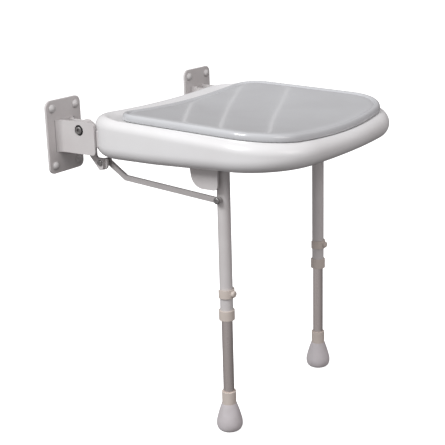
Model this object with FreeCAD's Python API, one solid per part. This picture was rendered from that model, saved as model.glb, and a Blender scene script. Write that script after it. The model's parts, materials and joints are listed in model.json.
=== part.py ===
"""Wall-mounted fold-up shower seat on two telescopic legs.

Frame: +Z up, the wall is the plane y = 0 and the seat projects towards -Y.
+X is to the right seen from the front. The origin lies on the wall plane,
midway between the two wall plates. Lengths are in millimetres.
Every side piece is drawn on the +X (right) side and mirrored for the left.
"""
import FreeCAD, Part

import math
import os

V = FreeCAD.Vector
X_AXIS = V(1, 0, 0)
Y_AXIS = V(0, 1, 0)
Z_AXIS = V(0, 0, 1)

# Wall plate and its fixings
PLATE_X = 198.0
PLATE_W = 86.0
PLATE_H = 128.0
PLATE_T = 4.0
PLATE_CORNER_R = 12.0
HOLE_PITCH_X = 58.0
HOLE_PITCH_Z = 100.0
HOLE_R = 3.5
CAP_R = 7.5
CAP_H = 6.5
CAP_WALL = 1.2
CAP_SKIRT = 1.5

# Bracket: two ears that stand out from the plate
EAR_T = 4.0
OUTER_EAR_X = 209.0
INNER_EAR_X = 183.0
EAR_TOP = 29.0
EAR_BOTTOM = -27.0
EAR_FRONT = -84.0
EAR_FOOT_R = 10.0
EAR_CORNER_R = 6.0
EAR_NOSE_R = 12.5
TONGUE_HALF_W = 11.0
WEB_BRIDGE_T = 3.0
LUG_HALF_W = 6.0
LUG_T = 6.0

# The four pivots of the folding linkage, as (y, z)
WALL_PIVOT = (-50.0, 14.0)
LEG_PIVOT = (-282.0, -27.0)
LINK_REAR = (-76.0, -44.0)
LINK_FRONT = (-308.0, -85.0)

# Pivot hardware
PIVOT_BOLT_R = 5.0
BOLT_HEAD_R = 6.5
BOLT_HEAD_H = 4.5
BOLT_SOCKET_R = 3.4
BOLT_SOCKET_DEPTH = 2.5
BUSH_R = 9.5
BUSH_PROUD = 1.5
FLANGE_R = 12.0
LINER_R = 7.5
NUT_R = 8.6
NUT_T = 6.0
LEG_PIN_R = 4.0
LEG_PIN_HEAD_R = 6.5
LEG_PIN_HEAD_H = 3.5
LEG_NUT_R = 7.4
LEG_SPACER_R = 7.0
LINK_PIN_R = 3.0
LINK_SPACER_R = 6.0
LINK_FRONT_SPACER_R = 5.0
LINK_PLAY = 0.3
RUNNING = 0.05
SIDE_GAP = 0.2
THREAD_END = 2.0

# Seat frame
ARM_X0 = 188.0
ARM_X1 = 208.0
ARM_Z0 = -14.0
ARM_Z1 = 16.0
ARM_REAR = -66.0
ARM_FRONT = -345.0
TUBE_WALL = 2.0
TUBE_CORNER_R = 2.5
PLUG_FIT = 0.02
END_CAP_T = 2.5
END_PLUG_L = 14.0
EYE_R = 15.9
EYE_INSET = 1.0
TONGUE_L = 32.0
RAIL_Z = 10.0
REAR_RAIL_Y = (-150.0, -130.0)
FRONT_RAIL_Y = (-306.0, -262.0)

# Plans of the moulding, of the tray in its top and of the pad: half width, rear, front,
# rear corner radius, front corner radius and bow radius of the front edge
SEAT_PLAN = (218.0, -53.0, -472.0, 72.0, 116.0, 1080.0)
TRAY_PLAN = (206.7, -78.0, -454.1, 60.0, 88.7, 800.7)
PAD_PLAN = (206.0, -116.0, -453.4, 50.0, 88.0, 800.0)

# Seat moulding
SEAT_BOTTOM = -32.0
RAMP_REAR = -200.0
RAMP_SLOPE = 1.8
CREST_DISH_R = 2600.0
CREST_Z_WALL = 37.5
CREST_SLOPE = 2.9
TOP_EDGE_R = 17.0
BOTTOM_EDGE_R = 17.0
MOULD_GAP = 0.3

# Floor of the tray, which is also the shape of the pad's top and bottom
TRAY_DISH_R = 1955.0
TRAY_Z_WALL = 30.8
TRAY_SLOPE = 2.28

# Pad and its studs
PAD_T = 13.0
PAD_GAP = 0.3
STUD_R = 4.0
STUD_PLAY = 0.3
STUD_X = (-120.0, 0.0, 120.0)
STUD_Y = (-180.0, -400.0)

# Legs
LEG_X = 156.0
LEG_Y = LINK_FRONT[0]
UPPER_R = 11.1
UPPER_BORE_R = 9.6
UPPER_TOP = -38.0
UPPER_BOTTOM = -295.0
HEAD_HALF_W = 8.5
HEAD_R = 11.0
SPIGOT_L = 24.0
LOWER_R = 9.5
LOWER_BORE_R = 8.0
LOWER_TOP = -160.0
LOWER_BOTTOM = -498.0
ADJUST_PITCH = 25.0
ADJUST_HOLES = 5
ADJUST_HOLE_R = 3.2
CLIP_Z = -250.0
CLIP_H = 15.0
CLIP_R = 14.0
CLIP_BORE_R = 11.4
BUTTON_R = 6.0
BUTTON_H = 4.5
SLEEVE_TOP = -280.0
SLEEVE_BOTTOM = -298.0
SLEEVE_R = 13.6
FLOOR_Z = -503.5
COLLAR_TOP = -431.0
COLLAR_BOTTOM = -453.5
COLLAR_R = 12.4
TIP_R = 22.9

# Link bar
LINK_X0 = 169.0
LINK_X1 = 175.0
LINK_HALF_H = 4.5
LINK_EYE_R = 5.7
LINK_BEND = (-116.0, -70.0)

# Leg bracket under the seat
CHEEK_IN_X = 134.0
CHEEK_OUT_X = 177.0
CHEEK_T = 4.0
BRACKET_FRONT = -314.0
BRACKET_REAR = -256.0
CHEEK_OUT_BOTTOM = -67.0
CHEEK_IN_BOTTOM = -41.0
WEB_Z0 = -13.0
WEB_T = 3.0
POCKET_SIDE = 11.0
POCKET_FRONT = 12.0
POCKET_REAR = 7.0


# ---------------------------------------------------------------- helpers
def box(x0, x1, y0, y1, z0, z1):
    return Part.makeBox(x1 - x0, y1 - y0, z1 - z0, V(x0, y0, z0))


def rod_x(r, yz, x0, x1):
    return Part.makeCylinder(r, x1 - x0, V(x0, yz[0], yz[1]), X_AXIS)


def ring_x(r_out, r_in, yz, x0, x1):
    return rod_x(r_out, yz, x0, x1).cut(rod_x(r_in, yz, x0 - 1, x1 + 1))


def rod_y(r, x, z, y0, y1):
    return Part.makeCylinder(r, y1 - y0, V(x, y0, z), Y_AXIS)


def rod_z(r, x, y, z0, z1):
    return Part.makeCylinder(r, z1 - z0, V(x, y, z0), Z_AXIS)


def ring_z(r_out, r_in, x, y, z0, z1):
    return rod_z(r_out, x, y, z0, z1).cut(rod_z(r_in, x, y, z0 - 1, z1 + 1))


def rounded_wire(corners):
    """Closed wire through (point, radius) corners, each rounded by a tangent arc."""
    count = len(corners)
    spans = []
    for i in range(count):
        point, radius = corners[i]
        to_prev = (corners[i - 1][0] - point).normalize()
        to_next = (corners[(i + 1) % count][0] - point).normalize()
        if radius <= 0:
            spans.append((point, None, point))
            continue
        half = to_prev.getAngle(to_next) / 2
        reach = radius / math.tan(half)
        bisector = (to_prev + to_next).normalize()
        middle = point + bisector * (radius / math.sin(half) - radius)
        spans.append((point + to_prev * reach, middle, point + to_next * reach))
    edges = []
    for i in range(count):
        start, middle, end = spans[i]
        if middle is not None:
            edges.append(Part.Arc(start, middle, end).toShape())
        following = spans[(i + 1) % count][0]
        if end.distanceToPoint(following) > 1e-4:
            edges.append(Part.LineSegment(end, following).toShape())
    return Part.Wire(Part.__sortEdges__(edges))


def plate_x(corners, x0, x1):
    """Plate between x0 and x1 whose outline is given as (y, z, radius)."""
    wire = rounded_wire([(V(x0, y, z), r) for y, z, r in corners])
    return Part.Face(wire).extrude(V(x1 - x0, 0, 0))


def plate_y(corners, y0, y1):
    """Plate between y0 and y1 whose outline is given as (x, z, radius)."""
    wire = rounded_wire([(V(x, y0, z), r) for x, z, r in corners])
    return Part.Face(wire).extrude(V(0, y1 - y0, 0))


def rect_tube_y(x0, x1, z0, z1, y0, y1, wall):
    outer = box(x0, x1, y0, y1, z0, z1)
    outer = outer.makeFillet(TUBE_CORNER_R, [e for e in outer.Edges if along(e, Y_AXIS)])
    return outer.cut(box(x0 + wall, x1 - wall, y0 - 1, y1 + 1, z0 + wall, z1 - wall))


def rect_tube_x(x0, x1, y0, y1, z0, z1, wall):
    outer = box(x0, x1, y0, y1, z0, z1)
    outer = outer.makeFillet(TUBE_CORNER_R, [e for e in outer.Edges if along(e, X_AXIS)])
    return outer.cut(box(x0 - 1, x1 + 1, y0 + wall, y1 - wall, z0 + wall, z1 - wall))


def along(edge, axis):
    return abs(edge.tangentAt(edge.FirstParameter).dot(axis)) > 0.999


def edges_on_plane(shape, axis, value):
    """Edges that lie wholly in the plane where axis (0, 1 or 2) equals value."""
    found = []
    for edge in shape.Edges:
        low = (edge.BoundBox.XMin, edge.BoundBox.YMin, edge.BoundBox.ZMin)[axis]
        high = (edge.BoundBox.XMax, edge.BoundBox.YMax, edge.BoundBox.ZMax)[axis]
        if abs(low - value) < 0.01 and abs(high - value) < 0.01:
            found.append(edge)
    return found


def turned(profile, x, y):
    """Solid of revolution about the vertical line at (x, y) from a closed (r, z) wire."""
    wire = Part.Wire(profile)
    solid = Part.Face(wire).revolve(V(0, 0, 0), Z_AXIS, 360)
    solid.translate(V(x, y, 0))
    return solid


def mirrored(shape):
    return shape.mirror(V(0, 0, 0), X_AXIS)


# ---------------------------------------------------------------- wall bracket
def hole_centres():
    return [
        (PLATE_X + sx * HOLE_PITCH_X / 2, sz * HOLE_PITCH_Z / 2)
        for sx in (-1, 1)
        for sz in (-1, 1)
    ]


def wall_plate():
    half_w = PLATE_W / 2
    half_h = PLATE_H / 2
    r = PLATE_CORNER_R
    outline = [
        (PLATE_X - half_w, -half_h, r),
        (PLATE_X + half_w, -half_h, r),
        (PLATE_X + half_w, half_h, r),
        (PLATE_X - half_w, half_h, r),
    ]
    plate = plate_y(outline, -PLATE_T, 0)
    plate = plate.makeFillet(1.2, edges_on_plane(plate, 1, -PLATE_T))
    for x, z in hole_centres():
        plate = plate.cut(rod_y(HOLE_R, x, z, -PLATE_T - 1, 1))
    return plate


def cap_form(inset):
    """Short round skirt with a domed top, standing on the plate's front; inset thins it."""
    radius = CAP_R - inset
    rise = CAP_H - CAP_SKIRT - inset
    ball_r = (radius ** 2 + rise ** 2) / (2 * rise)
    ball = Part.makeSphere(ball_r, V(0, 0, CAP_SKIRT + rise - ball_r))
    top = ball.common(Part.makeCylinder(radius, rise, V(0, 0, CAP_SKIRT)))
    return Part.makeCylinder(radius, CAP_SKIRT).fuse(top).removeSplitter()


def screw_caps():
    """Hollow domed caps that press on over the heads of the wall screws."""
    caps = []
    for x, z in hole_centres():
        cap = cap_form(0).cut(cap_form(CAP_WALL))
        cap.rotate(V(0, 0, 0), X_AXIS, 90)
        cap.translate(V(x, -PLATE_T, z))
        caps.append(cap)
    return Part.makeCompound(caps)


def bracket_ear(x0, x1, foot_side, outline):
    """Ear plate between x0 and x1, with a swept foot where it meets the wall plate.

    foot_side is +1 or -1, the side of the ear that the foot spreads to.
    """
    ear = plate_x(outline, x0, x1)
    face = x1 if foot_side > 0 else x0
    reach = EAR_FOOT_R * foot_side
    corner = V(face, -PLATE_T, EAR_BOTTOM)
    tip = V(face + reach, -PLATE_T, EAR_BOTTOM)
    heel = V(face, -PLATE_T - EAR_FOOT_R, EAR_BOTTOM)
    part_way = EAR_FOOT_R * (1 - math.sqrt(0.5))
    middle = V(face + foot_side * part_way, -PLATE_T - part_way, EAR_BOTTOM)
    edges = [
        Part.LineSegment(corner, tip).toShape(),
        Part.Arc(tip, middle, heel).toShape(),
        Part.LineSegment(heel, corner).toShape(),
    ]
    foot = Part.Face(Part.Wire(edges)).extrude(V(0, 0, EAR_TOP - EAR_BOTTOM))
    return ear.fuse(foot).removeSplitter()


def outer_ear():
    outline = [
        (-PLATE_T, EAR_BOTTOM, 0),
        (EAR_FRONT, EAR_BOTTOM, EAR_CORNER_R),
        (EAR_FRONT, EAR_TOP, EAR_CORNER_R),
        (-PLATE_T, EAR_TOP, 0),
    ]
    ear = bracket_ear(OUTER_EAR_X, OUTER_EAR_X + EAR_T, 1, outline)
    return ear.cut(rod_x(BUSH_R, WALL_PIVOT, OUTER_EAR_X - 1, OUTER_EAR_X + EAR_T + 1))


def inner_ear():
    """Ear with a round nose about the wall pivot and a tongue down to the link pivot."""
    y_a, z_a = WALL_PIVOT
    y_d, z_d = LINK_REAR
    shoulder = z_d + LUG_HALF_W + 1
    tip = z_d - TONGUE_HALF_W - 2
    outline = [
        (-PLATE_T, EAR_BOTTOM, 0),
        (y_a + 10, EAR_BOTTOM, 8),
        (y_d + TONGUE_HALF_W - 2, tip, 6),
        (y_d - TONGUE_HALF_W, tip, 10),
        (y_d - TONGUE_HALF_W, shoulder, 4),
        (y_a - EAR_NOSE_R, shoulder, 5),
        (y_a - EAR_NOSE_R, z_a + EAR_NOSE_R, EAR_NOSE_R - 0.5),
        (-PLATE_T, z_a + EAR_NOSE_R, 0),
    ]
    x0 = INNER_EAR_X
    x1 = INNER_EAR_X + EAR_T
    ear = bracket_ear(x0, x1, -1, outline)
    ear = ear.cut(rod_x(PIVOT_BOLT_R, WALL_PIVOT, x0 - 1, x1 + 1))
    return ear.cut(rod_x(LINK_PIN_R, LINK_REAR, x0 - 1, x1 + 1))


def bracket_web():
    """Bridge plate that joins the two ears against the wall plate."""
    rear = -PLATE_T
    return box(INNER_EAR_X + EAR_T, OUTER_EAR_X, rear - WEB_BRIDGE_T, rear, EAR_BOTTOM, EAR_TOP)


def link_lug():
    """Thickening pad welded outside the tongue, around the rear link pin."""
    y_d, z_d = LINK_REAR
    low = z_d - TONGUE_HALF_W - 2
    high = z_d + LUG_HALF_W + 1
    outline = [
        (y_d - LUG_HALF_W, low, LUG_HALF_W - 0.1),
        (y_d + LUG_HALF_W, low, LUG_HALF_W - 0.1),
        (y_d + LUG_HALF_W, high, 1),
        (y_d - LUG_HALF_W, high, 1),
    ]
    x0 = INNER_EAR_X + EAR_T
    x1 = x0 + LUG_T
    return plate_x(outline, x0, x1).cut(rod_x(LINK_PIN_R, LINK_REAR, x0 - 1, x1 + 1))


# ---------------------------------------------------------------- wall pivot
def pivot_bush():
    """Flanged bush pressed into the outer ear; the flange spaces the seat arm."""
    eye_face = ARM_X1 - EYE_INSET + SIDE_GAP
    flange = ring_x(FLANGE_R, PIVOT_BOLT_R, WALL_PIVOT, eye_face, OUTER_EAR_X)
    barrel = ring_x(BUSH_R, PIVOT_BOLT_R, WALL_PIVOT, OUTER_EAR_X, OUTER_EAR_X + BUSH_PROUD)
    return flange.fuse(barrel).removeSplitter()


def pivot_washer():
    eye_face = ARM_X0 + EYE_INSET - SIDE_GAP
    return ring_x(FLANGE_R, PIVOT_BOLT_R, WALL_PIVOT, INNER_EAR_X + EAR_T, eye_face)


def hex_prism(radius, yz, x0, x1):
    corners = []
    for i in range(6):
        angle = math.radians(60 * i)
        corners.append(V(x0, yz[0] + radius * math.cos(angle), yz[1] + radius * math.sin(angle)))
    corners.append(corners[0])
    return Part.Face(Part.makePolygon(corners)).extrude(V(x1 - x0, 0, 0))


def pivot_bolt():
    seat = OUTER_EAR_X + BUSH_PROUD
    head_end = seat + BOLT_HEAD_H
    shank = rod_x(PIVOT_BOLT_R, WALL_PIVOT, INNER_EAR_X - NUT_T - THREAD_END, seat)
    head = rod_x(BOLT_HEAD_R, WALL_PIVOT, seat, head_end)
    head = head.makeFillet(1.0, edges_on_plane(head, 0, head_end))
    socket = hex_prism(BOLT_SOCKET_R, WALL_PIVOT, head_end - BOLT_SOCKET_DEPTH, head_end + 1)
    return head.fuse(shank).cut(socket)


def pivot_nut():
    nut = hex_prism(NUT_R, WALL_PIVOT, INNER_EAR_X - NUT_T, INNER_EAR_X)
    return nut.cut(rod_x(PIVOT_BOLT_R, WALL_PIVOT, INNER_EAR_X - NUT_T - 1, INNER_EAR_X + 1))


# ---------------------------------------------------------------- seat frame
def arm_plug(y0, y1):
    """Block that fits the bore of the side arm."""
    inset = TUBE_WALL + PLUG_FIT
    return box(ARM_X0 + inset, ARM_X1 - inset, y0, y1, ARM_Z0 + inset, ARM_Z1 - inset)


def side_arm():
    return rect_tube_y(ARM_X0, ARM_X1, ARM_Z0, ARM_Z1, ARM_FRONT, ARM_REAR, TUBE_WALL)


def arm_knuckle():
    """Eye that turns on the wall pivot, with a tongue plugged into the side arm."""
    y_a, z_a = WALL_PIVOT
    outline = [
        (y_a + EYE_R, z_a + EYE_R, EYE_R - 0.05),
        (y_a + EYE_R, z_a - EYE_R, EYE_R - 0.05),
        (ARM_REAR + 9, z_a - EYE_R, 4),
        (ARM_REAR, ARM_Z0, 0),
        (ARM_REAR, ARM_Z1, 0),
        (ARM_REAR + 8, z_a + EYE_R, 4),
    ]
    eye = plate_x(outline, ARM_X0 + EYE_INSET, ARM_X1 - EYE_INSET)
    tongue = arm_plug(ARM_REAR - TONGUE_L, ARM_REAR + 1)
    body = eye.fuse(tongue).removeSplitter()
    return body.cut(rod_x(LINER_R, WALL_PIVOT, ARM_X0 - 1, ARM_X1 + 1))


def pivot_liner():
    x0 = ARM_X0 + EYE_INSET
    x1 = ARM_X1 - EYE_INSET
    return ring_x(LINER_R, PIVOT_BOLT_R + RUNNING, WALL_PIVOT, x0, x1)


def cross_rail(y_span):
    return rect_tube_x(-ARM_X0, ARM_X0, y_span[0], y_span[1], -RAIL_Z, RAIL_Z, TUBE_WALL)


def arm_end_cap():
    """Plastic plug in the front end of the side arm."""
    head = box(ARM_X0, ARM_X1, ARM_FRONT - END_CAP_T, ARM_FRONT, ARM_Z0, ARM_Z1)
    return head.fuse(arm_plug(ARM_FRONT - 1, ARM_FRONT + END_PLUG_L)).removeSplitter()


# ---------------------------------------------------------------- seat moulding and pad
def plan_block(plan, z0, z1):
    """Block with straight rear and sides and round corners; the front corners run into a bow."""
    half_w, rear, front, rear_r, front_r, bow_r = plan
    reach = math.sqrt((bow_r - front_r) ** 2 - (half_w - front_r) ** 2)
    bow_y = front + bow_r
    bow_end = math.atan2(half_w - front_r, reach) - math.pi / 2
    rear_centre = V(half_w - rear_r, rear - rear_r, z0)
    front_centre = V(half_w - front_r, bow_y - reach, z0)
    quarter = math.pi / 2
    right = [
        Part.LineSegment(V(0, rear, z0), V(rear_centre.x, rear, z0)).toShape(),
        plan_arc(rear_centre, rear_r, quarter, 0),
        Part.LineSegment(V(half_w, rear_centre.y, z0), V(half_w, front_centre.y, z0)).toShape(),
        plan_arc(front_centre, front_r, 0, bow_end),
        plan_arc(V(0, bow_y, z0), bow_r, bow_end, -quarter),
    ]
    left = [mirrored(edge) for edge in right]
    wire = Part.Wire(Part.__sortEdges__(right + left))
    return Part.Face(wire).extrude(V(0, 0, z1 - z0))


def plan_arc(centre, radius, start, end):
    points = []
    for angle in (start, (start + end) / 2, end):
        points.append(centre + V(radius * math.cos(angle), radius * math.sin(angle), 0))
    return Part.Arc(*points).toShape()


def space_above(dish_r, z_wall, slope, lift):
    """Everything above a surface that is dished across X and slopes down towards the front."""
    length = 700.0
    bowl = Part.makeCylinder(dish_r, length, V(0, 0, dish_r), V(0, -1, 0))
    cutter = bowl.common(box(-300, 300, -length, 0, -5, 150))
    cutter.rotate(V(0, 0, 0), X_AXIS, slope)
    cutter.translate(V(0, 0, z_wall + lift))
    return cutter


def above_crest():
    return space_above(CREST_DISH_R, CREST_Z_WALL, CREST_SLOPE, 0)


def above_tray(lift):
    return space_above(TRAY_DISH_R, TRAY_Z_WALL, TRAY_SLOPE, lift)


def pad_tray():
    return plan_block(TRAY_PLAN, 0, 60).common(above_tray(0))


def leg_pocket():
    """Room around the leg bracket, open to the underside and to the side arm."""
    y0 = BRACKET_FRONT - POCKET_FRONT
    y1 = BRACKET_REAR + POCKET_REAR
    return box(CHEEK_IN_X - POCKET_SIDE, ARM_X0 + 2, y0, y1, SEAT_BOTTOM - 1, WEB_Z0 + WEB_T)


def frame_cavities():
    """Space that the moulded-in frame takes up, open at the rear, and the leg pockets."""
    gap = MOULD_GAP
    front = ARM_FRONT - END_CAP_T - gap
    arm = box(ARM_X0 - gap, ARM_X1 + gap, front, 0, ARM_Z0 - gap, ARM_Z1 + gap)
    pocket = leg_pocket()
    cavities = arm.fuse([mirrored(arm), pocket, mirrored(pocket)])
    for y0, y1 in (REAR_RAIL_Y, FRONT_RAIL_Y):
        rail = box(-ARM_X0, ARM_X0, y0 - gap, y1 + gap, -RAIL_Z - gap, RAIL_Z + gap)
        cavities = cavities.fuse(rail)
    return cavities


def stud_places():
    return [(x, y) for x in STUD_X for y in STUD_Y]


def ramp_below():
    """Everything below the underside's front part, which rises towards the front."""
    length = 400.0
    ramp = box(-300, 300, -length, 0, -60, 0)
    ramp.rotate(V(0, 0, 0), X_AXIS, -RAMP_SLOPE)
    ramp.translate(V(0, RAMP_REAR, SEAT_BOTTOM))
    return ramp


def seat_block():
    block = plan_block(SEAT_PLAN, SEAT_BOTTOM, 60).cut(above_crest()).cut(ramp_below())
    rims = [e for e in block.Edges if not stands_up(e) and not crosses(e)]
    top = [e for e in rims if e.BoundBox.ZMin > 0]
    bottom = [e for e in rims if e.BoundBox.ZMax < 0]
    return block.makeFillet(BOTTOM_EDGE_R, bottom).makeFillet(TOP_EDGE_R, top)


def crosses(edge):
    """True for the crease across the underside, where the ramp starts."""
    return edge.BoundBox.YLength < 0.01 and abs(edge.BoundBox.YMin - RAMP_REAR) < 0.01


def stands_up(edge):
    return edge.BoundBox.ZLength > 1.2 * max(edge.BoundBox.XLength, edge.BoundBox.YLength)


def seat_shell():
    shell = seat_block().cut(pad_tray()).cut(frame_cavities())
    for x, y in stud_places():
        shell = shell.cut(rod_z(STUD_R + STUD_PLAY, x, y, -5, 60))
    return shell


def seat_pad():
    block = plan_block(PAD_PLAN, -5, 90)
    return block.common(above_tray(PAD_GAP)).cut(above_tray(PAD_GAP + PAD_T)).Solids[0]


def pad_studs():
    """Push-in studs under the pad, held in the moulding's holes."""
    above = above_tray(PAD_GAP)
    studs = [rod_z(STUD_R, x, y, 0, 45).cut(above) for x, y in stud_places()]
    return Part.makeCompound(studs)


# ---------------------------------------------------------------- leg bracket
def leg_bracket():
    """Pressed bracket welded under the front rail, with two cheeks around the leg head."""
    web = box(
        CHEEK_IN_X, CHEEK_OUT_X + CHEEK_T, BRACKET_FRONT, BRACKET_REAR, WEB_Z0, WEB_Z0 + WEB_T
    )
    inner_outline = [
        (BRACKET_FRONT + 12, WEB_Z0, 0),
        (BRACKET_FRONT + 12, CHEEK_IN_BOTTOM, 8),
        (BRACKET_REAR - 4, CHEEK_IN_BOTTOM, 8),
        (BRACKET_REAR - 4, WEB_Z0, 0),
    ]
    outer_outline = [
        (BRACKET_FRONT, WEB_Z0, 0),
        (BRACKET_FRONT, CHEEK_OUT_BOTTOM, 9),
        (BRACKET_REAR - 8, CHEEK_OUT_BOTTOM, 24),
        (BRACKET_REAR, WEB_Z0, 0),
    ]
    inner = plate_x(inner_outline, CHEEK_IN_X, CHEEK_IN_X + CHEEK_T)
    outer = plate_x(outer_outline, CHEEK_OUT_X, CHEEK_OUT_X + CHEEK_T)
    bracket = web.fuse([inner, outer]).removeSplitter()
    return bracket.cut(rod_x(LEG_PIN_R, LEG_PIVOT, CHEEK_IN_X - 1, CHEEK_OUT_X + CHEEK_T + 1))


def leg_pivot_pin():
    x_end = CHEEK_OUT_X + CHEEK_T
    head_end = x_end + LEG_PIN_HEAD_H
    shank = rod_x(LEG_PIN_R, LEG_PIVOT, CHEEK_IN_X - NUT_T - 1, x_end)
    head = rod_x(LEG_PIN_HEAD_R, LEG_PIVOT, x_end, head_end)
    head = head.makeFillet(1.5, edges_on_plane(head, 0, head_end))
    return shank.fuse(head)


def leg_pivot_nut():
    nut = hex_prism(LEG_NUT_R, LEG_PIVOT, CHEEK_IN_X - NUT_T, CHEEK_IN_X)
    return nut.cut(rod_x(LEG_PIN_R, LEG_PIVOT, CHEEK_IN_X - NUT_T - 1, CHEEK_IN_X + 1))


def leg_pivot_spacers():
    reach = HEAD_HALF_W + SIDE_GAP
    spans = [(CHEEK_IN_X + CHEEK_T, LEG_X - reach), (LEG_X + reach, CHEEK_OUT_X)]
    return Part.makeCompound(
        [ring_x(LEG_SPACER_R, LEG_PIN_R, LEG_PIVOT, x0, x1) for x0, x1 in spans]
    )


# ---------------------------------------------------------------- leg
def leg_upper_tube():
    tube = ring_z(UPPER_R, UPPER_BORE_R, LEG_X, LEG_Y, UPPER_BOTTOM, UPPER_TOP)
    tube = tube.cut(rod_x(LINK_PIN_R, LINK_FRONT, LEG_X - UPPER_R - 1, LEG_X + UPPER_R + 1))
    return tube.cut(rod_y(ADJUST_HOLE_R, LEG_X, CLIP_Z, LEG_Y - UPPER_R - 1, LEG_Y))


def leg_head():
    """Head block on top of the leg tube, turning on the leg pivot."""
    y_b, z_b = LEG_PIVOT
    outline = [
        (LEG_Y - UPPER_R, UPPER_TOP, 0),
        (LEG_Y - UPPER_R, z_b + HEAD_R, 7),
        (y_b + HEAD_R, z_b + HEAD_R, HEAD_R - 0.05),
        (y_b + HEAD_R, UPPER_TOP, HEAD_R - 0.05),
    ]
    block = plate_x(outline, LEG_X - HEAD_HALF_W, LEG_X + HEAD_HALF_W)
    spigot = rod_z(UPPER_BORE_R, LEG_X, LEG_Y, UPPER_TOP - SPIGOT_L, UPPER_TOP + 1)
    body = block.fuse(spigot).removeSplitter()
    return body.cut(rod_x(LEG_PIN_R + RUNNING, LEG_PIVOT, LEG_X - 20, LEG_X + 20))


def lock_clip():
    """Snap-on clip round the leg, open at the back, with the locking pin inside its button."""
    low = CLIP_Z - CLIP_H / 2
    high = CLIP_Z + CLIP_H / 2
    ring = rod_z(CLIP_R, LEG_X, LEG_Y, low, high)
    ring = ring.cut(rod_z(CLIP_BORE_R, LEG_X, LEG_Y, low - 1, high + 1))
    x0 = LEG_X - CLIP_BORE_R
    x1 = LEG_X + CLIP_BORE_R
    ring = ring.cut(box(x0, x1, LEG_Y, LEG_Y + CLIP_R + 1, low - 1, high + 1))
    front = LEG_Y - CLIP_R - BUTTON_H
    button = rod_y(BUTTON_R, LEG_X, CLIP_Z, front, LEG_Y - CLIP_BORE_R - 0.5)
    button = button.makeFillet(BUTTON_R / 2, edges_on_plane(button, 1, front))
    pin = rod_y(LINK_PIN_R, LEG_X, CLIP_Z, LEG_Y - CLIP_R, LEG_Y - UPPER_BORE_R - 0.1)
    return ring.fuse([button, pin]).removeSplitter()


def end_sleeve():
    """Plastic guide bush over the foot of the upper tube."""
    body = rod_z(SLEEVE_R, LEG_X, LEG_Y, SLEEVE_BOTTOM, SLEEVE_TOP)
    rims = edges_on_plane(body, 2, SLEEVE_BOTTOM) + edges_on_plane(body, 2, SLEEVE_TOP)
    body = body.makeFillet(0.8, rims)
    body = body.cut(rod_z(UPPER_R, LEG_X, LEG_Y, UPPER_BOTTOM, SLEEVE_TOP + 1))
    return body.cut(rod_z(LOWER_R + RUNNING, LEG_X, LEG_Y, SLEEVE_BOTTOM - 1, SLEEVE_TOP))


def leg_lower_tube():
    tube = ring_z(LOWER_R, LOWER_BORE_R, LEG_X, LEG_Y, LOWER_BOTTOM, LOWER_TOP)
    for i in range(ADJUST_HOLES):
        z = CLIP_Z + (ADJUST_HOLES - 2 - i) * ADJUST_PITCH
        tube = tube.cut(rod_y(ADJUST_HOLE_R, LEG_X, z, LEG_Y - LOWER_R - 1, LEG_Y))
    return tube


def foot_collar():
    return ring_z(COLLAR_R, LOWER_R, LEG_X, LEG_Y, COLLAR_BOTTOM, COLLAR_TOP)


def foot_tip():
    """Flared rubber ferrule with a rounded tread."""
    neck = V(COLLAR_R + 0.6, 0, COLLAR_BOTTOM)
    shoulder = V(TIP_R - 5.4, 0, FLOOR_Z + 37)
    flare = V(TIP_R - 2.0, 0, FLOOR_Z + 25)
    widest = V(TIP_R, 0, FLOOR_Z + 12)
    heel = V(TIP_R - 3.2, 0, FLOOR_Z + 2.4)
    tread = V(TIP_R - 7.5, 0, FLOOR_Z)
    side = Part.BSplineCurve()
    side.interpolate([neck, shoulder, flare, widest, heel, tread])
    profile = [
        Part.LineSegment(V(0, 0, COLLAR_BOTTOM), neck).toShape(),
        side.toShape(),
        Part.LineSegment(tread, V(0, 0, FLOOR_Z)).toShape(),
        Part.LineSegment(V(0, 0, FLOOR_Z), V(0, 0, COLLAR_BOTTOM)).toShape(),
    ]
    tip = turned(profile, LEG_X, LEG_Y)
    return tip.cut(rod_z(LOWER_R, LEG_X, LEG_Y, LOWER_BOTTOM - 2, COLLAR_BOTTOM + 1))


def foot_washer():
    """Steel disc that keeps the tube end from cutting through the ferrule."""
    return rod_z(LOWER_R, LEG_X, LEG_Y, LOWER_BOTTOM - 2, LOWER_BOTTOM)


# ---------------------------------------------------------------- link
def link_bar():
    """Cranked flat bar with an eye at each end."""
    points = [LINK_REAR, LINK_BEND, LINK_FRONT]
    bar = rod_x(LINK_EYE_R, LINK_REAR, LINK_X0, LINK_X1)
    bar = bar.fuse(rod_x(LINK_EYE_R, LINK_FRONT, LINK_X0, LINK_X1))
    upper = []
    lower = []
    for i, (y, z) in enumerate(points):
        normal = crank_normal(points, i)
        upper.append(V(LINK_X0, y + normal[0] * LINK_HALF_H, z + normal[1] * LINK_HALF_H))
        lower.append(V(LINK_X0, y - normal[0] * LINK_HALF_H, z - normal[1] * LINK_HALF_H))
    ring = upper + lower[::-1]
    strip = Part.Face(Part.makePolygon(ring + [ring[0]])).extrude(V(LINK_X1 - LINK_X0, 0, 0))
    bar = bar.fuse(strip).removeSplitter()
    for pivot in (LINK_REAR, LINK_FRONT):
        bar = bar.cut(rod_x(LINK_PIN_R + RUNNING, pivot, LINK_X0 - 1, LINK_X1 + 1))
    return bar


def crank_normal(points, i):
    """Offset direction at a point of the bar, mitred at the crank."""
    directions = []
    for a, b in zip(points, points[1:]):
        length = math.hypot(b[0] - a[0], b[1] - a[1])
        directions.append(((b[0] - a[0]) / length, (b[1] - a[1]) / length))
    before = directions[max(i - 1, 0)]
    after = directions[min(i, len(directions) - 1)]
    mean = (before[0] + after[0], before[1] + after[1])
    size = math.hypot(*mean)
    normal = (-mean[1] / size, mean[0] / size)
    stretch = 1 / (normal[0] * -before[1] + normal[1] * before[0])
    return (normal[0] * stretch, normal[1] * stretch)


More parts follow.
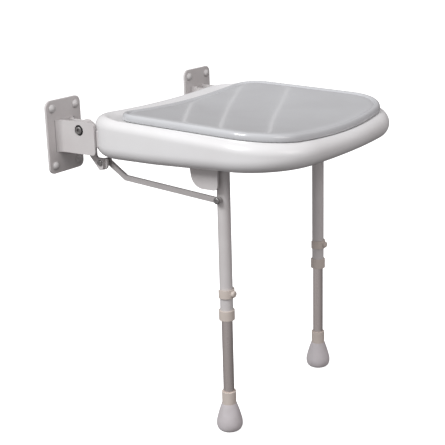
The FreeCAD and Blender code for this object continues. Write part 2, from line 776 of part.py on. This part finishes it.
def domed_head_x(radius, height, yz, x_face, side):
    """Domed pin head standing on the plane x_face, towards side (+1 or -1)."""
    x0 = x_face if side > 0 else x_face - height
    head = rod_x(radius, yz, x0, x0 + height)
    outer = x_face + side * height
    return head.makeFillet(height * 0.6, edges_on_plane(head, 0, outer))


def link_pin_rear():
    """Rivet from the lug through the tongue, a spacer and the link."""
    x_in = LINK_X0 - LINK_PLAY
    x_out = INNER_EAR_X + EAR_T + LUG_T
    pin = rod_x(LINK_PIN_R, LINK_REAR, x_in, x_out)
    inner = domed_head_x(5.2, 2.4, LINK_REAR, x_in, -1)
    outer = domed_head_x(5.2, 2.4, LINK_REAR, x_out, 1)
    return pin.fuse([inner, outer])


def link_spacer_rear():
    return ring_x(LINK_SPACER_R, LINK_PIN_R, LINK_REAR, LINK_X1 + LINK_PLAY, INNER_EAR_X)


def link_pin_front():
    """Rivet through the leg tube and the link's front eye."""
    x_in = LEG_X - UPPER_R
    x_out = LINK_X1 + LINK_PLAY
    pin = rod_x(LINK_PIN_R, LINK_FRONT, x_in, x_out)
    inner = domed_head_x(4.6, 2.2, LINK_FRONT, x_in, -1)
    outer = domed_head_x(5.6, 3.2, LINK_FRONT, x_out, 1)
    return pin.fuse([inner, outer])


def link_spacer_front():
    x0 = LEG_X + UPPER_R
    return ring_x(LINK_FRONT_SPACER_R, LINK_PIN_R, LINK_FRONT, x0, LINK_X0 - LINK_PLAY)


# ---------------------------------------------------------------- output
def pair(shape):
    """Both sides' pieces as one group of separate solids."""
    return Part.makeCompound(shape.Solids + mirrored(shape).Solids)


def main():
    os.makedirs("parts", exist_ok=True)
    pieces = {
        "seat_shell": seat_shell(),
        "seat_pad": seat_pad(),
        "pad_studs": pad_studs(),
        "rear_rail": cross_rail(REAR_RAIL_Y),
        "front_rail": cross_rail(FRONT_RAIL_Y),
        "bracket_webs": pair(bracket_web()),
        "link_lugs": pair(link_lug()),
        "pivot_bushes": pair(pivot_bush()),
        "pivot_washers": pair(pivot_washer()),
        "pivot_bolts": pair(pivot_bolt()),
        "pivot_nuts": pair(pivot_nut()),
        "pivot_liners": pair(pivot_liner()),
        "link_pins_rear": pair(link_pin_rear()),
        "link_spacers_rear": pair(link_spacer_rear()),
        "arm_end_caps": pair(arm_end_cap()),
        "leg_pivot_pins": pair(leg_pivot_pin()),
        "leg_pivot_nuts": pair(leg_pivot_nut()),
        "leg_pivot_spacers": pair(leg_pivot_spacers()),
    }
    sided = {
        "wall_plate": wall_plate(),
        "screw_caps": screw_caps(),
        "bracket_outer_ear": outer_ear(),
        "bracket_inner_ear": inner_ear(),
        "side_arm": side_arm(),
        "arm_knuckle": arm_knuckle(),
        "leg_bracket": leg_bracket(),
        "leg_upper_tube": leg_upper_tube(),
        "leg_head": leg_head(),
        "link_pin_front": link_pin_front(),
        "link_spacer_front": link_spacer_front(),
        "link_bar": link_bar(),
        "leg_end_sleeve": end_sleeve(),
        "lock_clip": lock_clip(),
        "leg_lower_tube": leg_lower_tube(),
        "foot_collar": foot_collar(),
        "foot_tip": foot_tip(),
        "foot_washer": foot_washer(),
    }
    for name, shape in sided.items():
        pieces[name + "_right"] = shape
        pieces[name + "_left"] = mirrored(shape)
    for name, shape in pieces.items():
        shape.exportStep("parts/" + name + ".step")


main()
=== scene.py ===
"""Looks for the wall-mounted fold-up shower seat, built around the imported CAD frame.

Lengths are in metres, in the CAD frame: the wall is y = 0, the seat projects towards -Y, +Z is up.
"""

import json
import math

import bmesh
import bpy
from mathutils import Matrix, Vector, noise as mathutils_noise


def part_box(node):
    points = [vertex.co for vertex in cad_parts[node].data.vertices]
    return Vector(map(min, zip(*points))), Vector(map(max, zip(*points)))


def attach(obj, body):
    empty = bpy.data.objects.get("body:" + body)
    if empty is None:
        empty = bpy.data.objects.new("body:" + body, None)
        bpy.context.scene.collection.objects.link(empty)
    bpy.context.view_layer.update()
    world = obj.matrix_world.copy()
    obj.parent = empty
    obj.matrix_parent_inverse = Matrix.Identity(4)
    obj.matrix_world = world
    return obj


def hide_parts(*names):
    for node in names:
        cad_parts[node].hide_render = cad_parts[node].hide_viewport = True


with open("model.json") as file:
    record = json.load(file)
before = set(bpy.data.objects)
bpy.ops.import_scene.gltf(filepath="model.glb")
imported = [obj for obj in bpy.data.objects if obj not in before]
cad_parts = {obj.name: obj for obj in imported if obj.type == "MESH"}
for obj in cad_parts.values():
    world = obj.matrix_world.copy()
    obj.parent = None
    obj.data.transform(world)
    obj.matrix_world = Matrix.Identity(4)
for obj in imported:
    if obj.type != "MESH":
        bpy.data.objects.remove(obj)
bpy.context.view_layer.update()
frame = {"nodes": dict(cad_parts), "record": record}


# ---------------------------------------------------------------- shader helpers
def new_material(name):
    """Principled material with an object-space coordinate node, and its node tree."""
    mat = bpy.data.materials.new(name)
    mat.use_nodes = True
    tree = mat.node_tree
    shader = tree.nodes["Principled BSDF"]
    coords = tree.nodes.new("ShaderNodeTexCoord").outputs["Object"]
    return mat, tree, shader, coords


def noise(tree, coords, scale, detail=3.0, roughness=0.5, stretch=None):
    """Noise factor; stretch is the scale along each axis, for brushed or drawn surfaces."""
    node = tree.nodes.new("ShaderNodeTexNoise")
    node.inputs["Scale"].default_value = scale
    node.inputs["Detail"].default_value = detail
    node.inputs["Roughness"].default_value = roughness
    source = coords
    if stretch is not None:
        mapping = tree.nodes.new("ShaderNodeMapping")
        mapping.inputs["Scale"].default_value = stretch
        tree.links.new(coords, mapping.inputs["Vector"])
        source = mapping.outputs["Vector"]
    tree.links.new(source, node.inputs["Vector"])
    return node.outputs["Fac"]


def spread(tree, factor, low, high, edges=(0.3, 0.7)):
    """Maps a noise factor to a number between low and high."""
    node = tree.nodes.new("ShaderNodeMapRange")
    node.inputs["From Min"].default_value = edges[0]
    node.inputs["From Max"].default_value = edges[1]
    node.inputs["To Min"].default_value = low
    node.inputs["To Max"].default_value = high
    tree.links.new(factor, node.inputs["Value"])
    return node.outputs["Result"]


def two_tone(tree, factor, first, second, edges=(0.35, 0.65)):
    """Colour that drifts between two tones with a noise factor."""
    ramp = tree.nodes.new("ShaderNodeValToRGB")
    ramp.color_ramp.elements[0].position = edges[0]
    ramp.color_ramp.elements[1].position = edges[1]
    ramp.color_ramp.elements[0].color = (*first, 1)
    ramp.color_ramp.elements[1].color = (*second, 1)
    tree.links.new(factor, ramp.inputs["Fac"])
    return ramp.outputs["Color"]


def bumped(tree, shader, height, strength, distance, below=None):
    """Adds a bump layer over the normal given by below."""
    node = tree.nodes.new("ShaderNodeBump")
    node.inputs["Strength"].default_value = strength
    node.inputs["Distance"].default_value = distance
    tree.links.new(height, node.inputs["Height"])
    if below is not None:
        tree.links.new(below, node.inputs["Normal"])
    tree.links.new(node.outputs["Normal"], shader.inputs["Normal"])
    return node.outputs["Normal"]


def soft_edges(tree, radius):
    """Normal that rounds sharp edges by radius, like paint or a deburred corner."""
    node = tree.nodes.new("ShaderNodeBevel")
    node.samples = 4
    node.inputs["Radius"].default_value = radius
    return node.outputs["Normal"]


# ---------------------------------------------------------------- materials
def painted_steel(name, light, dark):
    """Powder coat: fine orange peel, faint shade drift and softened edges."""
    mat, tree, shader, coords = new_material(name)
    drift = noise(tree, coords, 14, 4)
    tree.links.new(two_tone(tree, drift, dark, light), shader.inputs["Base Color"])
    peel = noise(tree, coords, 520, 2)
    tree.links.new(spread(tree, peel, 0.34, 0.46), shader.inputs["Roughness"])
    bumped(tree, shader, peel, 0.12, 0.0004, soft_edges(tree, 0.0007))
    shader.inputs["Coat Weight"].default_value = 0.15
    shader.inputs["Coat Roughness"].default_value = 0.25
    return mat


def moulded_skin():
    """Integral-skin foam: satin white, faintly mottled, with fine pores and slow waves."""
    mat, tree, shader, coords = new_material("moulded_skin")
    mottle = noise(tree, coords, 7, 4)
    tone = two_tone(tree, mottle, (0.735, 0.725, 0.725), (0.775, 0.770, 0.775))
    tree.links.new(tone, shader.inputs["Base Color"])
    handled = noise(tree, coords, 38, 4)
    tree.links.new(spread(tree, handled, 0.30, 0.42), shader.inputs["Roughness"])
    slow = bumped(tree, shader, noise(tree, coords, 20, 2), 0.04, 0.002)
    bumped(tree, shader, noise(tree, coords, 380, 2), 0.035, 0.0003, slow)
    shader.inputs["Coat Weight"].default_value = 0.25
    shader.inputs["Coat Roughness"].default_value = 0.16
    return mat


def pad_skin():
    """Glossy grey polyurethane skin; slow waves make its reflections waver."""
    mat, tree, shader, coords = new_material("pad_skin")
    mottle = noise(tree, coords, 10, 4)
    tone = two_tone(tree, mottle, (0.53, 0.535, 0.55), (0.57, 0.58, 0.595))
    tree.links.new(tone, shader.inputs["Base Color"])
    handled = noise(tree, coords, 18, 2)
    tree.links.new(spread(tree, handled, 0.28, 0.33), shader.inputs["Roughness"])
    bumped(tree, shader, noise(tree, coords, 9, 1), 0.012, 0.002)
    shader.inputs["Coat Weight"].default_value = 0.6
    shader.inputs["Coat Roughness"].default_value = 0.09
    return mat


def moulded_plastic(name, light, dark, roughness):
    """Injection-moulded plastic: slight shade drift, fine grain and soft edges."""
    mat, tree, shader, coords = new_material(name)
    drift = noise(tree, coords, 30, 4)
    tree.links.new(two_tone(tree, drift, dark, light), shader.inputs["Base Color"])
    grain = noise(tree, coords, 650, 3)
    tree.links.new(
        spread(tree, grain, roughness - 0.06, roughness + 0.08), shader.inputs["Roughness"]
    )
    bumped(tree, shader, grain, 0.1, 0.0003, soft_edges(tree, 0.0006))
    return mat


def foot_rubber():
    """Matte rubber with a faint bloom and moulding texture."""
    mat, tree, shader, coords = new_material("foot_rubber")
    bloom = noise(tree, coords, 45, 5)
    tone = two_tone(tree, bloom, (0.52, 0.485, 0.495), (0.58, 0.545, 0.56))
    tree.links.new(tone, shader.inputs["Base Color"])
    grain = noise(tree, coords, 420, 4)
    tree.links.new(spread(tree, grain, 0.5, 0.68), shader.inputs["Roughness"])
    bumped(tree, shader, grain, 0.18, 0.0004)
    shader.inputs["Sheen Weight"].default_value = 0.15
    shader.inputs["Sheen Roughness"].default_value = 0.5
    return mat


def polished_tube():
    """Polished metal tube with fine lines drawn along its length and light smears."""
    mat, tree, shader, coords = new_material("polished_tube")
    shader.inputs["Metallic"].default_value = 1.0
    smears = noise(tree, coords, 30, 4, stretch=(1, 1, 0.25))
    tone = two_tone(tree, smears, (0.84, 0.77, 0.74), (0.90, 0.83, 0.80))
    tree.links.new(tone, shader.inputs["Base Color"])
    lines = noise(tree, coords, 900, 3, stretch=(1, 1, 0.02))
    tree.links.new(spread(tree, lines, 0.24, 0.36), shader.inputs["Roughness"])
    bumped(tree, shader, lines, 0.05, 0.0002)
    return mat


def zinc_steel():
    """Bright zinc-plated steel for pins, bolts and nuts."""
    mat, tree, shader, coords = new_material("zinc_steel")
    shader.inputs["Metallic"].default_value = 1.0
    bloom = noise(tree, coords, 120, 4)
    tone = two_tone(tree, bloom, (0.30, 0.29, 0.29), (0.42, 0.41, 0.40))
    tree.links.new(tone, shader.inputs["Base Color"])
    grain = noise(tree, coords, 800, 3)
    tree.links.new(spread(tree, grain, 0.28, 0.45), shader.inputs["Roughness"])
    bumped(tree, shader, grain, 0.1, 0.0002, soft_edges(tree, 0.0004))
    return mat


PAINT = painted_steel("painted_steel", (0.63, 0.605, 0.60), (0.59, 0.56, 0.555))
# The link's paint is the same powder coat made darker: painted shade for the shadow the link sits
# in under the seat.
SHADED_LINK_PAINT = painted_steel("link_paint_shaded", (0.46, 0.435, 0.43), (0.41, 0.385, 0.38))
SHELL_SKIN = moulded_skin()
PAD_SKIN = pad_skin()
WHITE_PLASTIC = moulded_plastic("white_plastic", (0.54, 0.52, 0.515), (0.49, 0.475, 0.47), 0.30)
CREAM_PLASTIC = moulded_plastic("cream_plastic", (0.63, 0.56, 0.51), (0.58, 0.515, 0.465), 0.38)
DARK_PLASTIC = moulded_plastic("dark_plastic", (0.05, 0.05, 0.052), (0.035, 0.035, 0.037), 0.45)
RUBBER = foot_rubber()
POLISHED = polished_tube()
ZINC = zinc_steel()

BY_SLOT = {
    "painted_steel": PAINT,
    # the link gets the darker copy of the steel paint, with painted shade in its colour
    "link_steel": SHADED_LINK_PAINT,
    "fastener_steel": ZINC,
    "seat_moulding": SHELL_SKIN,
    "pad_skin": PAD_SKIN,
    "white_plastic": WHITE_PLASTIC,
    "cream_plastic": CREAM_PLASTIC,
    "bush_plastic": DARK_PLASTIC,
    "polished_tube": POLISHED,
    "foot_rubber": RUBBER,
}


def finish_cad_nodes():
    """Gives every carried-over CAD node the material of its record slot."""
    for entry in frame["record"]["subparts"]:
        node = frame["nodes"][entry["node"]]
        node.data.materials.clear()
        node.data.materials.append(BY_SLOT[entry["material_slot"]])


# ---------------------------------------------------------------- plan outlines
MM = 0.001
RING_SHARES = (0.14, 0.24, 0.18, 0.26, 0.18)
HALF_RING = 110


class Plan:
    """Plan with straight rear and sides, round corners, and front corners that run into a bow."""

    def __init__(self, half_w, rear, front, rear_r, front_r, bow_r):
        reach = math.sqrt((bow_r - front_r) ** 2 - (half_w - front_r) ** 2)
        self.half_w = half_w
        self.rear = rear
        self.front = front
        self.rear_r = rear_r
        self.front_r = front_r
        self.bow_r = bow_r
        self.bow_y = front + bow_r
        self.rear_x = half_w - rear_r
        self.rear_y = rear - rear_r
        self.front_x = half_w - front_r
        self.front_y = self.bow_y - reach
        self.bow_angle = math.atan2(self.front_x, reach)

    def run(self, index, t):
        """Point and outward normal at t along one of the right half's five runs."""
        quarter = math.pi / 2
        if index == 0:
            return (self.rear_x * t, self.rear), (0.0, 1.0)
        if index == 2:
            return (self.half_w, self.rear_y + (self.front_y - self.rear_y) * t), (1.0, 0.0)
        x, y, radius, start, end = {
            1: (self.rear_x, self.rear_y, self.rear_r, quarter, 0.0),
            3: (self.front_x, self.front_y, self.front_r, 0.0, self.bow_angle - quarter),
            4: (0.0, self.bow_y, self.bow_r, self.bow_angle - quarter, -quarter),
        }[index]
        angle = start + (end - start) * t
        normal = (math.cos(angle), math.sin(angle))
        return (x + radius * normal[0], y + radius * normal[1]), normal

    def points(self):
        """[(point, outward normal)] all round, from the middle of the rear edge."""
        half = []
        for index, share in enumerate(RING_SHARES):
            steps = round(share * HALF_RING)
            half += [self.run(index, i / steps) for i in range(steps)]
        front = ((0.0, self.front), (0.0, -1.0))
        left = [((-x, y), (-nx, ny)) for (x, y), (nx, ny) in half[:0:-1]]
        return half + [front] + left

    def depth(self, x, y):
        """How far inside the plan a point lies; negative outside."""
        x = abs(x)
        if x > self.rear_x and y > self.rear_y:
            return self.rear_r - math.hypot(x - self.rear_x, y - self.rear_y)
        dx = x - self.front_x
        dy = y - self.front_y
        if dy < 0 and dx * math.cos(self.bow_angle) + dy * math.sin(self.bow_angle) > 0:
            return self.front_r - math.hypot(dx, dy)
        return min(self.half_w - x, self.rear - y, self.bow_r - math.hypot(x, y - self.bow_y))

    def reach_from(self, point, normal):
        """Distance from a point outside, against its normal, to this plan's edge."""
        low, high = 0.0, 0.08
        for _ in range(30):
            middle = (low + high) / 2
            if self.depth(point[0] - normal[0] * middle, point[1] - normal[1] * middle) > 0:
                high = middle
            else:
                low = middle
        return high


def dished(surface, x, y):
    """Height of a surface dished across X that falls towards the front."""
    wall_z, radius, slope = surface
    return wall_z + x * x / (2 * radius) + y * math.tan(math.radians(slope))


def smooth_step(t):
    t = min(max(t, 0.0), 1.0)
    return t * t * (3 - 2 * t)


def by_side(normal, rear, side, front):
    """A value that changes smoothly from the rear edge to the sides to the front edge."""
    if normal[1] > 0:
        return side + (rear - side) * smooth_step(normal[1])
    return side + (front - side) * smooth_step(-normal[1])


def inset_ring(points, amounts):
    return [(x - nx * a, y - ny * a) for ((x, y), (nx, ny)), a in zip(points, amounts)]


def drawn_in(ring, share, middle_y):
    """A ring drawn in towards the point x = 0, y = middle_y."""
    return [(x * share, middle_y + (y - middle_y) * share) for x, y in ring]


def lofted(name, rings):
    """Closed mesh through rings of equal point counts; the first and last close in fans."""
    mesh = bmesh.new()
    levels = [[mesh.verts.new(point) for point in ring] for ring in rings]
    count = len(levels[0])
    for lower, upper in zip(levels, levels[1:]):
        for i in range(count):
            j = (i + 1) % count
            mesh.faces.new((lower[i], lower[j], upper[j], upper[i]))
    for level in (levels[0], levels[-1]):
        hub = mesh.verts.new(sum((v.co for v in level), Vector()) / count)
        for i in range(count):
            mesh.faces.new((level[i], level[(i + 1) % count], hub))
    bmesh.ops.recalc_face_normals(mesh, faces=mesh.faces)
    return placed(name, mesh)


def placed(name, mesh):
    """Object from a bmesh, smooth shaded and linked to the scene."""
    data = bpy.data.meshes.new(name)
    mesh.to_mesh(data)
    mesh.free()
    data.shade_smooth()
    piece = bpy.data.objects.new(name, data)
    bpy.context.scene.collection.objects.link(piece)
    return piece


def bake_modifiers(piece):
    """Replaces a piece's mesh with its evaluated one and drops the modifiers."""
    graph = bpy.context.evaluated_depsgraph_get()
    final = bpy.data.meshes.new_from_object(piece.evaluated_get(graph))
    piece.modifiers.clear()
    piece.data = final


# ---------------------------------------------------------------- seat moulding
CREST = (37.5 * MM, 2.6, 2.9)
TRAY = (30.8 * MM, 1.955, 2.28)
SHELL_LOW, SHELL_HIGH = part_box("seat_shell")
PAD_LOW, PAD_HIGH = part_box("seat_pad")
SHELL_PLAN = Plan(SHELL_HIGH.x, SHELL_HIGH.y, SHELL_LOW.y, 0.072, 0.116, 1.08)
TRAY_EDGE = 0.7 * MM
TRAY_PLAN = Plan(PAD_HIGH.x + TRAY_EDGE, -0.078, PAD_LOW.y - TRAY_EDGE, 0.060, 0.0887, 0.8007)
SIDE_R = 23 * MM
ROLL_R = 20 * MM
RAMP_REAR = -0.200
RAMP_SLOPE = 1.8
LOWER_ROLL_SHARE = 0.53
UPPER_ROLL_SHARE = 0.46
LOWER_ROLL_STEPS = 12
WALL_STEPS = 4
UPPER_ROLL_STEPS = 14
TRAY_STEPS = 10
# Distances in from the tray's edge at the rear, the sides and the front, in millimetres.
CREST_OUTSIDE = (7, 1.6, 2)
FLOOR_INSIDE = (12, 0.6, 0.3)
FILL_SHARES = (0.02, 0.1, 0.2, 0.3, 0.4, 0.5, 0.6, 0.7, 0.8, 0.88, 0.95)


def shell_bottom(y):
    """Underside height: level at the rear, rising towards the front."""
    return SHELL_LOW.z + max(0.0, RAMP_REAR - y) * math.tan(math.radians(RAMP_SLOPE))


def roll_levels(x, y):
    """(height where the lower roll ends, height where the upper roll starts, crest height)."""
    crest = dished(CREST, x, y)
    bottom = shell_bottom(y)
    tall = crest - bottom
    lower = bottom + min(SIDE_R, LOWER_ROLL_SHARE * tall)
    upper = crest - min(ROLL_R, UPPER_ROLL_SHARE * tall)
    return lower, upper, crest


def shell_rings():
    """Rings from the middle of the underside, up the side and over the crest to the tray."""
    points = SHELL_PLAN.points()
    middle_y = (SHELL_LOW.y + SHELL_HIGH.y) / 2
    rings = []
    base = inset_ring(points, [SIDE_R] * len(points))
    for share in FILL_SHARES:
        rings.append([(x, y, shell_bottom(y)) for x, y in drawn_in(base, share, middle_y)])
    for step in range(LOWER_ROLL_STEPS + 1):
        angle = math.radians(90 * step / LOWER_ROLL_STEPS)
        ring = inset_ring(points, [SIDE_R * (1 - math.sin(angle))] * len(points))
        level = []
        for x, y in ring:
            low = shell_bottom(y)
            level.append((x, y, low + (roll_levels(x, y)[0] - low) * (1 - math.cos(angle))))
        rings.append(level)
    edge = inset_ring(points, [0.0] * len(points))
    for step in range(1, WALL_STEPS):
        level = []
        for x, y in edge:
            lower, upper, _ = roll_levels(x, y)
            level.append((x, y, lower + (upper - lower) * step / WALL_STEPS))
        rings.append(level)

    reaches = [TRAY_PLAN.reach_from(point, normal) for point, normal in points]
    peaks = [r - by_side(n, *CREST_OUTSIDE) * MM for r, (_, n) in zip(reaches, points)]
    floors = [r + by_side(n, *FLOOR_INSIDE) * MM for r, (_, n) in zip(reaches, points)]
    ends = [math.acos(max(0.0, 1 - peak / ROLL_R)) for peak in peaks]
    for step in range(UPPER_ROLL_STEPS + 1):
        amounts = [ROLL_R * (1 - math.cos(end * step / UPPER_ROLL_STEPS)) for end in ends]
        level = []
        for (x, y), end in zip(inset_ring(points, amounts), ends):
            _, upper, crest = roll_levels(x, y)
            rise = math.sin(end * step / UPPER_ROLL_STEPS)
            level.append((x, y, upper + (crest - upper) * rise))
        rings.append(level)
    shoulder = [z for _, _, z in rings[-1]]
    for step in range(1, TRAY_STEPS + 1):
        t = step / TRAY_STEPS
        amounts = [peak + (floor - peak) * t for peak, floor in zip(peaks, floors)]
        level = []
        for (x, y), start in zip(inset_ring(points, amounts), shoulder):
            level.append((x, y, start + (dished(TRAY, x, y) - start) * smooth_step(t)))
        rings.append(level)
    inner = inset_ring(points, floors)
    for share in FILL_SHARES[::-1]:
        drawn = drawn_in(inner, share, middle_y)
        rings.append([(x, y, dished(TRAY, x, y)) for x, y in drawn])
    return rings


def cut_boxes(piece, boxes):
    """Cuts axis-aligned boxes, given as (low corner, high corner), out of a piece."""
    mesh = bmesh.new()
    for low, high in boxes:
        for v in bmesh.ops.create_cube(mesh, size=1)["verts"]:
            v.co = [a + (c + 0.5) * (b - a) for a, c, b in zip(low, v.co, high)]
    cutter = placed("cutter", mesh)
    cut = piece.modifiers.new("pocket", "BOOLEAN")
    cut.operation = "DIFFERENCE"
    cut.solver = "EXACT"
    cut.object = cutter
    bake_modifiers(piece)
    bpy.data.objects.remove(cutter)


POCKET_INNER = 11 * MM
POCKET_OUTER = 9 * MM
POCKET_FRONT = 12 * MM
POCKET_REAR = 7 * MM
POCKET_BELOW = 10 * MM
SHARP_ANGLE = math.radians(50)


def add_shell():
    shell = lofted("seat_moulding", shell_rings())
    pockets = []
    for side in ("left", "right"):
        low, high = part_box("leg_bracket_" + side)
        near, far = sorted((abs(low.x), abs(high.x)))
        xs = sorted(math.copysign(x, low.x) for x in (near - POCKET_INNER, far + POCKET_OUTER))
        start = (xs[0], low.y - POCKET_FRONT, SHELL_LOW.z - POCKET_BELOW)
        pockets.append((start, (xs[1], high.y + POCKET_REAR, high.z)))
    cut_boxes(shell, pockets)
    shell.data.set_sharp_from_angle(angle=SHARP_ANGLE)
    shell.data.materials.append(SHELL_SKIN)
    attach(shell, "seat")
    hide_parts("seat_shell")


# ---------------------------------------------------------------- pad
PAD_PLAN = Plan(PAD_HIGH.x, PAD_HIGH.y, PAD_LOW.y, 0.050, 0.088, 0.800)
PAD_LIFT = 0.4 * MM
PAD_TOP = 12.2 * MM
PAD_BASE_INSET = 4 * MM
RIPPLE_DEPTH = 0.2 * MM
RIPPLE_SIZE = 0.11
RIPPLE_START = 6 * MM
RIPPLE_FADE = 5 * MM
# (distance in from the pad's edge, height above its underside), in millimetres.
RIM_PROFILE = (
    (3.4, 0.0),
    (1.7, 0.3),
    (0.6, 1.1),
    (0.1, 2.4),
    (0.0, 4.2),
    (0.2, 6.2),
    (0.7, 8.2),
    (1.6, 10.1),
    (2.8, 11.5),
    (4.2, 12.4),
    (5.6, 12.8),
    (7.0, 12.8),
    (8.4, 12.4),
    (9.6, 11.6),
    (10.6, 10.5),
    (11.3, 9.8),
    (12.0, 9.8),
    (13.0, 10.4),
    (14.6, 11.2),
    (17.5, 11.8),
    (22.0, 12.2),
)


def pad_rings():
    """Rings from the middle of the pad's underside, round the rolled rim, to its top."""
    points = PAD_PLAN.points()
    middle_y = (PAD_LOW.y + PAD_HIGH.y) / 2

    def at_height(ring, height):
        return [(x, y, dished(TRAY, x, y) + PAD_LIFT + height) for x, y in ring]

    base = inset_ring(points, [PAD_BASE_INSET] * len(points))
    rings = [at_height(drawn_in(base, share, middle_y), 0.0) for share in FILL_SHARES]
    for inset, height in RIM_PROFILE:
        rings.append(at_height(inset_ring(points, [inset * MM] * len(points)), height * MM))
    inner = inset_ring(points, [RIM_PROFILE[-1][0] * MM] * len(points))
    for share in FILL_SHARES[::-1]:
        rings.append(at_height(drawn_in(inner, share, middle_y), PAD_TOP))
    return rings


def ripple(piece, depth, size):
    """Slow waves in the upper surface, as a foam skin has; the underside stays put."""
    for v in piece.data.vertices:
        height = v.co.z - dished(TRAY, v.co.x, v.co.y)
        share = smooth_step((height - RIPPLE_START) / RIPPLE_FADE)
        v.co.z += depth * share * mathutils_noise.noise(v.co * (1 / size))


def add_pad():
    pad = lofted("pad_cushion", pad_rings())
    smooth = pad.modifiers.new("smooth", "SUBSURF")
    smooth.levels = 1
    smooth.render_levels = 1
    bake_modifiers(pad)
    ripple(pad, RIPPLE_DEPTH, RIPPLE_SIZE)
    pad.data.shade_smooth()
    pad.data.materials.append(PAD_SKIN)
    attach(pad, "seat")
    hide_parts("seat_pad")


# ---------------------------------------------------------------- stage, light and camera
FLOOR_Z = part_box("foot_tip_left")[0][2]
CAMERA_PLACE = Vector((-1.4865, -1.2379, 0.3570))
CAMERA_YAW = math.radians(54.94)
CAMERA_DOWN = math.radians(16.59)
CAMERA_ROLL = math.radians(-1.61)
CAMERA_LENS = 83.0
SENSOR = 36.0
FLOOR_HALF = 30.0
FLOOR_GREY = (0.85, 0.85, 0.85, 1)
FLOOR_GLOW = 0.85
LIGHT_TARGET = Vector((0, -0.25, -0.05))
BRIGHT_SIDE = Vector((-0.40, 0.05, 0.92))
DIM_TONE = (0.060, 0.054, 0.052, 1)
BRIGHT_TONE = (0.66, 0.645, 0.655, 1)
KEY = ((-2.5, 0.15, 2.1), LIGHT_TARGET, (1.2, 1.2), 74, (0.97, 0.99, 1.0))
FILL = ((-0.3, -3.0, 1.6), LIGHT_TARGET, (1.6, 1.2), 20, (1.0, 0.96, 0.95))
# Narrow lights behind the seat; each turn is in degrees from the way the camera faces.
STRIP_TURNS = (-2.4, 0.8, 5.0)
STRIP_REACH = 3.0
STRIP_RISE = 1.25
STRIP_SIZE = (0.013, 2.2)
STRIP_POWER = 0.075


def add_camera():
    data = bpy.data.cameras.new("camera")
    data.lens = CAMERA_LENS
    data.sensor_width = SENSOR
    camera = bpy.data.objects.new("camera", data)
    forward = Vector(
        (
            math.sin(CAMERA_YAW) * math.cos(CAMERA_DOWN),
            math.cos(CAMERA_YAW) * math.cos(CAMERA_DOWN),
            -math.sin(CAMERA_DOWN),
        )
    )
    level = forward.cross(Vector((0, 0, 1))).normalized()
    upright = level.cross(forward)
    right = math.cos(CAMERA_ROLL) * level + math.sin(CAMERA_ROLL) * upright
    up = math.cos(CAMERA_ROLL) * upright - math.sin(CAMERA_ROLL) * level
    turn = Matrix((right, up, -forward)).transposed()
    camera.matrix_world = Matrix.Translation(CAMERA_PLACE) @ turn.to_4x4()
    bpy.context.scene.collection.objects.link(camera)
    bpy.context.scene.camera = camera


def add_floor():
    mesh = bpy.data.meshes.new("floor")
    half = FLOOR_HALF
    corners = [(-half, -half), (half, -half), (half, half), (-half, half)]
    mesh.from_pydata([(x, y, FLOOR_Z) for x, y in corners], [], [(0, 1, 2, 3)])
    floor = bpy.data.objects.new("floor", mesh)
    bpy.context.scene.collection.objects.link(floor)
    floor.visible_diffuse = False
    floor.visible_glossy = False
    mat = bpy.data.materials.new("floor")
    mat.use_nodes = True
    shader = mat.node_tree.nodes["Principled BSDF"]
    shader.inputs["Base Color"].default_value = FLOOR_GREY
    shader.inputs["Roughness"].default_value = 0.9
    shader.inputs["Specular IOR Level"].default_value = 0.0
    shader.inputs["Emission Color"].default_value = (1, 1, 1, 1)
    shader.inputs["Emission Strength"].default_value = FLOOR_GLOW
    mesh.materials.append(mat)


def area_light(name, place, target, size, power, colour):
    data = bpy.data.lights.new(name, "AREA")
    data.shape = "RECTANGLE"
    data.size, data.size_y = size
    data.energy = power
    data.color = colour
    light = bpy.data.objects.new(name, data)
    aim = Vector(target) - Vector(place)
    turn = aim.to_track_quat("-Z", "Y").to_matrix().to_4x4()
    light.matrix_world = Matrix.Translation(place) @ turn
    light.visible_camera = False
    bpy.context.scene.collection.objects.link(light)


def add_light():
    """Soft surround, bright above and towards -X; a key light, a fill light and three strips."""
    world = bpy.data.worlds.new("studio")
    world.use_nodes = True
    tree = world.node_tree
    direction = tree.nodes.new("ShaderNodeTexCoord").outputs["Generated"]
    facing = tree.nodes.new("ShaderNodeVectorMath")
    facing.operation = "DOT_PRODUCT"
    facing.inputs[1].default_value = BRIGHT_SIDE.normalized()
    tree.links.new(direction, facing.inputs[0])
    level = tree.nodes.new("ShaderNodeMapRange")
    level.inputs["From Min"].default_value = -1.0
    tree.links.new(facing.outputs["Value"], level.inputs["Value"])
    ramp = tree.nodes.new("ShaderNodeValToRGB")
    ramp.color_ramp.elements[0].color = DIM_TONE
    ramp.color_ramp.elements[1].color = BRIGHT_TONE
    tree.links.new(level.outputs["Result"], ramp.inputs["Fac"])
    tree.links.new(ramp.outputs["Color"], tree.nodes["Background"].inputs["Color"])
    bpy.context.scene.world = world
    area_light("key", *KEY)
    area_light("fill", *FILL)
    for turn in STRIP_TURNS:
        angle = math.radians(90) - CAMERA_YAW - math.radians(turn)
        across = STRIP_REACH * Vector((math.cos(angle), math.sin(angle), 0.0))
        place = LIGHT_TARGET + across + Vector((0.0, 0.0, STRIP_RISE))
        area_light("strip", place, LIGHT_TARGET, STRIP_SIZE, STRIP_POWER, (1.0, 1.0, 1.0))


bpy.context.scene.view_settings.view_transform = "Standard"
finish_cad_nodes()
add_shell()
add_pad()
add_floor()
add_light()
add_camera()
